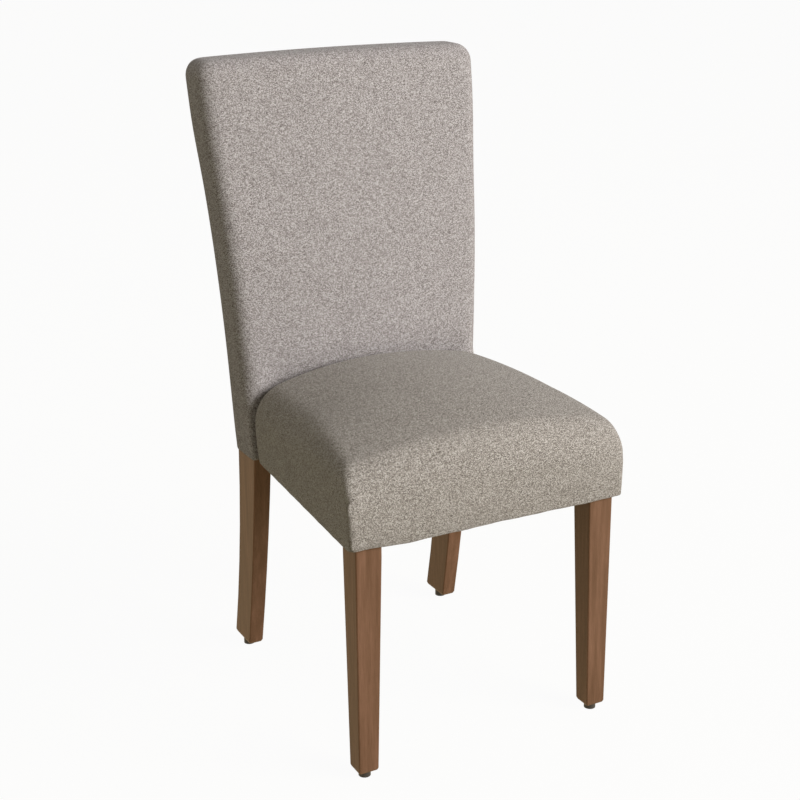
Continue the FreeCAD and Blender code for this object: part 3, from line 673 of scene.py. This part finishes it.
def make_outside_back():
    """The panel stitched over the rear of the back, a little proud of it, with puckered edges."""
    levels = stations((HEM + PANEL_ABOVE_HEM, HEM + PANEL_BORDER, BORDER_ROWS),
                      (HEM + PANEL_BORDER, PANEL_TOP - PANEL_BORDER, PANEL_ROWS),
                      (PANEL_TOP - PANEL_BORDER, PANEL_TOP, BORDER_ROWS))
    across = stations((-1.0, -BORDER_FROM, BORDER_COLUMNS), (-BORDER_FROM, BORDER_FROM, PANEL_COLUMNS),
                      (BORDER_FROM, 1.0, BORDER_COLUMNS))
    cells = []
    for z in levels:
        wave = math.sin(z * 2 * math.pi / PUCKER_PITCH)
        rear = BACK_FRONT + rake(z) + back_depth(z) + PANEL_THICKNESS + PANEL_PROUD - hem_draw(z)
        points = []
        for share in across:
            seam = smooth((abs(share) - SEAM_FROM) / (1 - SEAM_FROM))
            points.append((panel_half(z) * share, rear + seam * (PUCKER * wave - SEAM_SINK), z))
        cells.append((points, [True] * len(across)))
    return sheet_mesh("outside_back_panel", cells, PANEL_THICKNESS, (0, -1, 0))


# Dust cover and its staples

def dust_half(y):
    share = (y - DUST_FRONT) / (DUST_REAR - DUST_FRONT)
    return DUST_FRONT_HALF + (DUST_REAR_HALF - DUST_FRONT_HALF) * share


def make_dust_cover():
    """Thin cloth under the seat, notched round the front legs and sagging a little."""
    places = stations((DUST_FRONT, NOTCH_Y, NOTCH_ROWS), (NOTCH_Y, DUST_REAR, DUST_ROWS))
    notch = NOTCH_X / DUST_FRONT_HALF
    shares = stations((-1.0, -notch, NOTCH_COLUMNS), (-notch, notch, DUST_COLUMNS),
                      (notch, 1.0, NOTCH_COLUMNS))
    between_legs = range(NOTCH_COLUMNS, len(shares) - 1 - NOTCH_COLUMNS)
    cells = []
    for line, y in enumerate(places):
        length = (y - DUST_FRONT) / (DUST_REAR - DUST_FRONT)
        points = []
        for share in shares:
            sag = DUST_SAG * (1 - share ** 2) * (1 - (2 * length - 1) ** 2)
            points.append((dust_half(y) * share, y, DUST_HIGH.z - DUST_BELOW - sag))
        inside = [line >= NOTCH_ROWS or column in between_legs for column in range(len(shares))]
        cells.append((points, inside))
    return sheet_mesh("dust_cover_cloth", cells, DUST_THICKNESS, (0, 0, -1))


def staple_lines():
    """The start and end of each line of staples: front, rear and the two sides."""
    front_x = NOTCH_X - STAPLE_INSET
    front_y = DUST_FRONT + STAPLE_INSET
    rear_x = DUST_REAR_HALF - STAPLE_INSET
    rear_y = DUST_REAR - STAPLE_INSET
    side_start = (dust_half(NOTCH_Y) - STAPLE_INSET, NOTCH_Y + STAPLE_INSET)
    side_end = (rear_x, rear_y - 2 * STAPLE_INSET)
    return [((-front_x, front_y), (front_x, front_y)),
            ((-rear_x, rear_y), (rear_x, rear_y)),
            ((-side_start[0], side_start[1]), (-side_end[0], side_end[1])),
            (side_start, side_end)]


def make_staples():
    """Wire staples along the dust cover's edges."""
    level = DUST_HIGH.z - STAPLE_BELOW
    mesh = bmesh.new()
    for start, end in staple_lines():
        start = Vector((*start, level))
        end = Vector((*end, level))
        count = max(int((end - start).length / STAPLE_PITCH), 1)
        turn = Euler((0, 0, math.atan2(end.y - start.y, end.x - start.x))).to_matrix()
        for step in range(count + 1):
            made = bmesh.ops.create_cube(mesh, size=1.0)["verts"]
            bmesh.ops.scale(mesh, verts=made, vec=(STAPLE_LENGTH, STAPLE_WIRE, STAPLE_WIRE))
            bmesh.ops.rotate(mesh, verts=made, cent=(0, 0, 0), matrix=turn)
            bmesh.ops.translate(mesh, verts=made, vec=start.lerp(end, step / count))
    return piece_from("dust_cover_staples", mesh)


# Materials

class Nodes:
    """A node tree, with short calls to add nodes and join them."""

    def __init__(self, tree):
        self.tree = tree

    def add(self, kind, inputs=None, **settings):
        node = self.tree.nodes.new("ShaderNode" + kind)
        for key, value in settings.items():
            setattr(node, key, value)
        for key, value in (inputs or {}).items():
            self.feed(node, key, value)
        return node

    def feed(self, node, key, value):
        if isinstance(value, bpy.types.NodeSocket):
            self.tree.links.new(value, node.inputs[key])
        else:
            node.inputs[key].default_value = value

    def math(self, operation, *values):
        return self.add("Math", dict(enumerate(values)), operation=operation).outputs[0]

    def vector(self, operation, *values):
        return self.add("VectorMath", dict(enumerate(values)), operation=operation).outputs[0]

    def weighted(self, *parts):
        """Sum of values, each times its weight."""
        (value, weight), *rest = parts
        scaled = self.math("MULTIPLY", value, weight)
        return self.math("ADD", scaled, self.weighted(*rest)) if rest else scaled

    def noise(self, place, scale, detail=2.0, roughness=0.5):
        return self.add("TexNoise", {"Vector": place, "Scale": scale, "Detail": detail,
                                     "Roughness": roughness}).outputs["Fac"]

    def ramp(self, value, *stops):
        node = self.add("ValToRGB", {"Fac": value})
        colours = node.color_ramp.elements
        while len(colours) < len(stops):
            colours.new(0.5)
        for element, (position, colour) in zip(colours, stops):
            element.position = position
            element.color = (*colour, 1)
        return node.outputs["Color"]

    def mix(self, share, a, b):
        return self.add("Mix", {0: share, 6: a, 7: b}, data_type="RGBA").outputs[2]

    def mix_values(self, share, a, b):
        return self.add("Mix", {0: share, 2: a, 3: b}, data_type="FLOAT").outputs[0]

    def seen(self, rays):
        """1 for rays of the camera and of mirrors and glass, 0 for those that only carry light."""
        return self.math("MAXIMUM", rays["Is Camera Ray"],
                         self.math("MAXIMUM", rays["Is Glossy Ray"], rays["Is Transmission Ray"]))


class Shader(Nodes):
    """The nodes of a new material."""

    def __init__(self, name):
        self.material = bpy.data.materials.new(name)
        self.material.use_nodes = True
        super().__init__(self.material.node_tree)
        self.surface = self.tree.nodes["Principled BSDF"]

    def bump(self, height, distance, strength):
        normal = self.add("Bump", {"Height": height, "Distance": distance, "Strength": strength})
        self.feed(self.surface, "Normal", normal.outputs[0])

    def finish(self, **inputs):
        for key, value in inputs.items():
            self.feed(self.surface, key.replace("_", " "), value)
        return self.material


def woven(name, dark, middle, light):
    """Heathered plain weave: each thread has its own tone, which changes along its length."""
    shader = Shader(name)
    over = shader.add("UVMap", uv_map="weave").outputs[0]
    threads = shader.add("VectorMath", {0: over, "Scale": 1 / THREAD_PITCH},
                         operation="SCALE").outputs[0]
    warp, weft = (
        shader.add("TexWhiteNoise", {"Vector": shader.vector("SNAP", threads, stretch)},
                   noise_dimensions="3D").outputs["Value"] for stretch in ((1, 2, 1), (2, 1, 1)))
    checks = shader.add("TexChecker", {"Vector": threads, "Scale": 1.0}).outputs["Fac"]
    slubs = shader.noise(shader.vector("MULTIPLY", over, (1.0, SLUB_STRETCH, 1.0)), 1 / SLUB_LENGTH)
    cloud = shader.noise(over, 1 / CLOUD_SIZE)
    tone = shader.weighted((shader.mix_values(checks, warp, weft), THREAD_SHARE),
                           (slubs, SLUB_SHARE), (cloud, CLOUD_SHARE))
    colour = shader.ramp(tone, (0.07, dark), (0.5, middle), (0.93, light))
    place = shader.add("SeparateXYZ", {0: threads})
    humps = [shader.math("ABSOLUTE", shader.math("SINE", shader.math("MULTIPLY", axis, math.pi)))
             for axis in place.outputs[:2]]
    height = shader.math("ADD", shader.mix_values(checks, *humps), shader.math("MULTIPLY", tone, 0.6))
    shader.bump(height, THREAD_RELIEF, 0.4)
    return shader.finish(Base_Color=colour, Roughness=0.9, Sheen_Weight=0.10, Sheen_Roughness=0.5,
                         Specular_IOR_Level=0.2)


def stained_wood(name, dark, middle, light, roughness):
    """Stained wood with its grain along Z."""
    shader = Shader(name)
    place = shader.add("TexCoord").outputs["Object"]
    grain = shader.vector("MULTIPLY", place, (1.0, 1.0, GRAIN_STRETCH))
    wave = shader.noise(shader.vector("MULTIPLY", place, (1.0, 1.0, WAVE_STRETCH)), WAVES)
    waved = shader.vector("ADD", grain, shader.vector("MULTIPLY", wave, (WAVE_REACH, WAVE_REACH, 0.0)))
    pores = shader.noise(grain, PORES, detail=3.0, roughness=0.65)
    bands = shader.noise(waved, BANDS, detail=4.0, roughness=0.6)
    tone = shader.weighted((bands, BAND_SHARE), (pores, PORE_SHARE))
    colour = shader.ramp(tone, (0.33, dark), (0.5, middle), (0.68, light))
    shader.bump(pores, PORE_RELIEF, 0.5)
    return shader.finish(Base_Color=colour, Roughness=roughness, Specular_IOR_Level=0.45,
                         Specular_Tint=(1.0, 0.85, 0.6, 1.0))


def plain(name, low, high, scale, roughness, relief, **more):
    """A moulded, cast or felted surface: fine mottling with a little relief."""
    shader = Shader(name)
    place = shader.add("TexCoord").outputs["Object"]
    grain = shader.noise(place, scale, detail=4.0, roughness=0.6)
    colour = shader.ramp(grain, (0.3, low), (0.7, high))
    shader.bump(grain, relief, 0.6)
    return shader.finish(Base_Color=colour, Roughness=roughness, **more)


back_cloth = woven("heathered_weave", (0.100, 0.084, 0.076), (0.305, 0.277, 0.258),
                   (0.630, 0.600, 0.582))
# Lit and shaded copies of one weave: the seat's copy is darker and more olive than the back's, as
# painted shade for the weaker, warmer light that falls on the seat
shaded_seat_cloth = woven("heathered_weave_seat_shaded", (0.090, 0.075, 0.061), (0.275, 0.247, 0.211),
                   (0.586, 0.553, 0.495))
leg_wood = stained_wood("walnut_stain", (0.096, 0.045, 0.023), (0.143, 0.071, 0.040),
                        (0.204, 0.105, 0.063), roughness=0.5)
frame_wood = stained_wood("planed_hardwood", (0.42, 0.29, 0.17), (0.55, 0.40, 0.25),
                          (0.66, 0.51, 0.34), roughness=0.7)
zinc = plain("zinc_plate", (0.42, 0.42, 0.40), (0.60, 0.60, 0.57),
             scale=400.0, roughness=0.35, relief=0.05 * MM, Metallic=1.0)
glide_plastic = plain("moulded_glide", (0.020, 0.018, 0.017), (0.045, 0.040, 0.037),
                      scale=600.0, roughness=0.5, relief=0.05 * MM)
webbing = plain("jute_webbing", (0.24, 0.17, 0.09), (0.46, 0.36, 0.22),
                scale=700.0, roughness=0.95, relief=0.3 * MM)
felt = plain("dust_felt", (0.008, 0.008, 0.008), (0.030, 0.030, 0.030),
             scale=500.0, roughness=0.95, relief=0.2 * MM)


# Pieces in the scene

def dress(words, material):
    """Give the material to each node that has one of these words in its name."""
    for name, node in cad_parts.items():
        if any(word in name for word in words):
            for slot in node.material_slots:
                slot.material = material


dress(("leg_left", "leg_right"), leg_wood)
dress(("rail", "block"), frame_wood)
dress(("bolt", "nut"), zinc)
dress(("glide",), glide_plastic)
dress(("strap",), webbing)

seat = make_seat()
settle_seat(seat)
subdivide_once(seat)
seat.data.materials.append(shaded_seat_cloth)
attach(seat, "root")
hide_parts("seat_cover", "seat_foam", "seat_wadding")

back = make_back()
settle_back(back)
subdivide_once(back)
back.data.materials.append(back_cloth)
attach(back, "root")
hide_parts("back_cover", "back_foam")

panel = make_outside_back()
panel.data.materials.append(back_cloth)
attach(panel, "root")
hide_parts("outside_back")

under = make_dust_cover()
under.data.materials.append(felt)
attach(under, "root")
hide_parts("dust_cover")

staples = make_staples()
staples.data.materials.append(zinc)
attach(staples, "root")


# Floor, light and camera

def pale_floor():
    """A floor that looks white, with a soft shadow, and throws a muted light back on the chair."""
    shader = Shader("pale_floor")
    rays = shader.add("LightPath").outputs
    sheen = shader.mix(rays["Is Glossy Ray"], WHITE, FLOOR_MIRRORED)
    glow = shader.add("Emission", {"Color": sheen, "Strength": FLOOR_GLOW}).outputs[0]
    matt = shader.add("BsdfDiffuse", {"Color": FLOOR_MATT}).outputs[0]
    share = shader.math("MULTIPLY", shader.seen(rays), FLOOR_GLOW_SHARE)
    output = next(node for node in shader.tree.nodes if node.type == "OUTPUT_MATERIAL")
    shader.feed(output, "Surface", shader.add("MixShader", {0: share, 1: matt, 2: glow}).outputs[0])
    return shader.material


def area_light(name, place, target, size, power, colour):
    """A square lamp of this size in metres and power in watts, which shines at the target."""
    data = bpy.data.lights.new(name, "AREA")
    data.shape = "SQUARE"
    data.size = size
    data.energy = power
    data.color = colour
    lamp = in_scene(name, data)
    lamp.location = place
    lamp.rotation_euler = (Vector(target) - Vector(place)).to_track_quat("-Z", "Y").to_euler()


floor_data = bpy.data.meshes.new("floor")
corners = [(-1, -1), (1, -1), (1, 1), (-1, 1)]
floor_data.from_pydata([(x * FLOOR_REACH, y * FLOOR_REACH, 0) for x, y in corners], [], [(0, 1, 2, 3)])
floor_data.materials.append(pale_floor())
floor = in_scene("floor", floor_data)

world = bpy.data.worlds.new("studio")
bpy.context.scene.world = world
world.use_nodes = True
sky = Nodes(world.node_tree)
seen = sky.seen(sky.add("LightPath").outputs)
background = sky.tree.nodes["Background"]
sky.feed(background, "Color", sky.mix(seen, AMBIENT_COLOUR, WHITE))
sky.feed(background, "Strength", sky.math("ADD", sky.math("MULTIPLY", seen, 1 - AMBIENT), AMBIENT))

area_light("key", place=(4.0, -5.3, 3.3), target=(0, 0, 0.6), size=4.0, power=690,
           colour=(0.975, 0.965, 1.0))
area_light("fill", place=(-4.9, 0.3, 1.7), target=(0, 0, 0.8), size=2.6, power=20,
           colour=(1.0, 0.95, 0.82))

camera_data = bpy.data.cameras.new("camera")
camera_data.sensor_width = CAMERA_SENSOR
camera_data.lens = CAMERA_LENS
camera = in_scene("camera", camera_data)
camera.location = CAMERA_PLACE
camera.rotation_euler = Euler([math.radians(angle) for angle in CAMERA_TURN])
bpy.context.scene.camera = camera
bpy.context.scene.view_settings.view_transform = "Standard"
